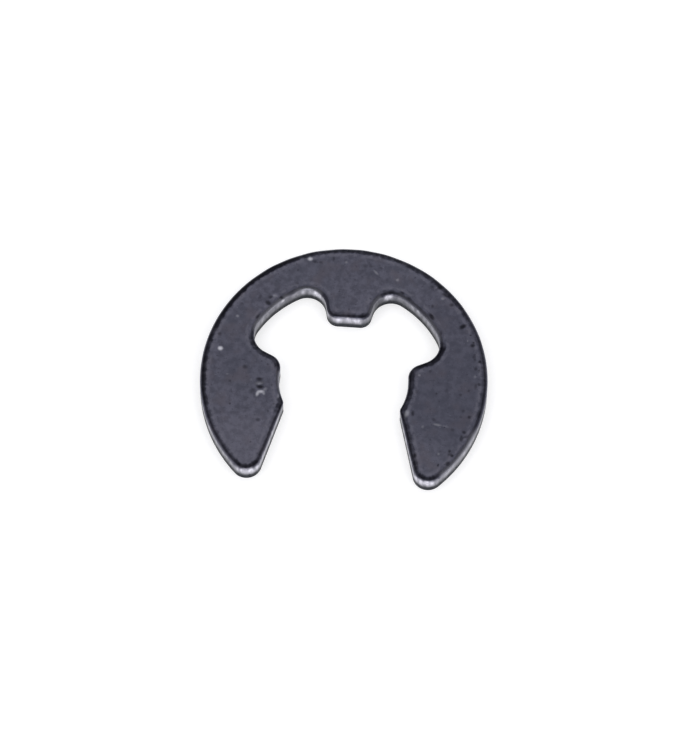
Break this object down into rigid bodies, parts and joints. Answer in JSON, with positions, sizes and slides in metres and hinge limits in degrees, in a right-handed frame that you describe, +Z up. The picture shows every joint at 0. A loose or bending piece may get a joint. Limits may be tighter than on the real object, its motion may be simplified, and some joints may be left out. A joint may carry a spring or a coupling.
{
  "type": "e clip",
  "caption": "Flat E-shaped retaining ring of spring steel, whose gripping arms and centre tab snap sideways into the groove of a shaft.",
  "frame": {"origin": "on the axis of the shaft's groove, at the clip's underside", "axes": "+Z up through the strip towards the face with the die-rolled edge, +Y towards the tab, mouth open towards -Y"},
  "size_m": [0.009, 0.0078, 0.0007],
  "materials": {
    "spring_steel": "hardened spring steel with a thin dark phosphate coat, matte and finely mottled on the faces, brighter on the sheared edge"
  },
  "bodies": {
    "root": {"e_clip": "spring_steel"}
  },
  "joints": []
}
